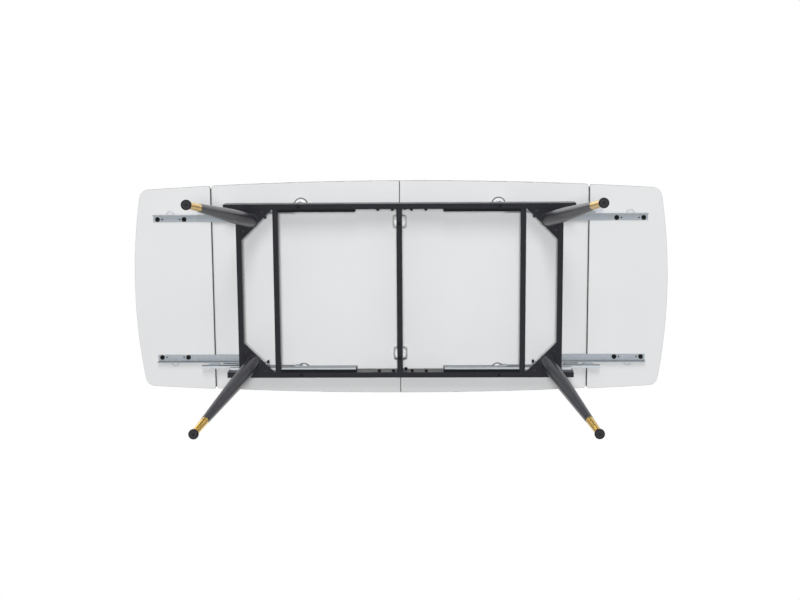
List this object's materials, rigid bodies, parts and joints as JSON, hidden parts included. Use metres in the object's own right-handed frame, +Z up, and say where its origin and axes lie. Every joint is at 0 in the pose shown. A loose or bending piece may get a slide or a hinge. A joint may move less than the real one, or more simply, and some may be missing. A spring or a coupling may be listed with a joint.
{
  "type": "extending dining table",
  "caption": "Extending dining table: bowed pale top with end leaves that slide under it on ball slides, dark steel frame, splayed tapered legs with brass-coloured sleeves.",
  "frame": {"origin": "on the floor under the middle of the table", "axes": "+Z up, X along the table's length with the left leaf at -X, Y across it with the front rail at -Y"},
  "size_m": [1.9958, 0.804, 0.75],
  "materials": {
    "top_panel": "smooth pale board",
    "frame_paint": "satin black powder coat",
    "inner_steel": "matt black",
    "leg_paint": "satin dark grey",
    "sleeve_brass": "polished",
    "foot_plastic": "matt",
    "slide_zinc": "bright zinc",
    "arm_zinc": "bright zinc",
    "cage_steel": "plain",
    "spring_steel": "oiled wire",
    "standoff_chrome": "polished",
    "bolt_black": "black oxide",
    "cap_plastic": "matt"
  },
  "bodies": {
    "frame": {"main_top_left": "top_panel", "main_top_right": "top_panel", "rail_front_left": "frame_paint", "rail_rear_left": "frame_paint", "rail_front_right": "frame_paint", "rail_rear_right": "frame_paint", "end_tube_left": "frame_paint", "end_tube_right": "frame_paint", "inner_tube_left": "frame_paint", "inner_tube_right": "frame_paint", "centre_tube": "frame_paint", "slide_supports": "frame_paint", "gusset_front_left": "frame_paint", "gusset_rear_left": "frame_paint", "gusset_front_right": "frame_paint", "gusset_rear_right": "frame_paint", "rail_inserts": "inner_steel", "leg_front_left": "leg_paint", "leg_rear_left": "leg_paint", "leg_front_right": "leg_paint", "leg_rear_right": "leg_paint", "leg_sleeve_front_left": "sleeve_brass", "leg_sleeve_rear_left": "sleeve_brass", "leg_sleeve_front_right": "sleeve_brass", "leg_sleeve_rear_right": "sleeve_brass", "foot_front_left": "foot_plastic", "foot_rear_left": "foot_plastic", "foot_front_right": "foot_plastic", "foot_rear_right": "foot_plastic", "slide_channel_front_left": "slide_zinc", "slide_channel_rear_left": "slide_zinc", "slide_channel_front_right": "slide_zinc", "slide_channel_rear_right": "slide_zinc", "standoffs": "standoff_chrome", "joint_bolts": "bolt_black", "leg_bolts": "bolt_black", "standoff_bolts": "bolt_black", "rail_caps": "cap_plastic"},
    "left_leaf": {"leaf_left": "top_panel", "arm_bolts_left": "bolt_black", "arm_clips_left": "spring_steel", "lift_links_left": "arm_zinc", "slide_runner_front_left": "slide_zinc", "slide_runner_rear_left": "slide_zinc", "leaf_arm_front_left": "arm_zinc", "leaf_arm_rear_left": "arm_zinc", "lift_spring_front_left": "spring_steel", "lift_spring_rear_left": "spring_steel"},
    "left_cages": {"ball_cages_left": "cage_steel"},
    "right_leaf": {"leaf_right": "top_panel", "arm_bolts_right": "bolt_black", "arm_clips_right": "spring_steel", "lift_links_right": "arm_zinc", "slide_runner_front_right": "slide_zinc", "slide_runner_rear_right": "slide_zinc", "leaf_arm_front_right": "arm_zinc", "leaf_arm_rear_right": "arm_zinc", "lift_spring_front_right": "spring_steel", "lift_spring_rear_right": "spring_steel"},
    "right_cages": {"ball_cages_right": "cage_steel"}
  },
  "joints": [
    {"name": "left_leaf_slide", "type": "slide", "parent": "frame", "child": "left_leaf", "axis": [1, 0, 0], "range_m": [0, 0.3]},
    {"name": "left_cage_slide", "type": "slide", "parent": "frame", "child": "left_cages", "axis": [1, 0, 0], "range_m": [0, 0.15]},
    {"name": "right_leaf_slide", "type": "slide", "parent": "frame", "child": "right_leaf", "axis": [-1, 0, 0], "range_m": [0, 0.3]},
    {"name": "right_cage_slide", "type": "slide", "parent": "frame", "child": "right_cages", "axis": [-1, 0, 0], "range_m": [0, 0.15]}
  ],
  "couplings": [
    {"joint": "left_cage_slide", "follows": "left_leaf_slide", "ratio": 0.5},
    {"joint": "right_cage_slide", "follows": "right_leaf_slide", "ratio": 0.5}
  ]
}
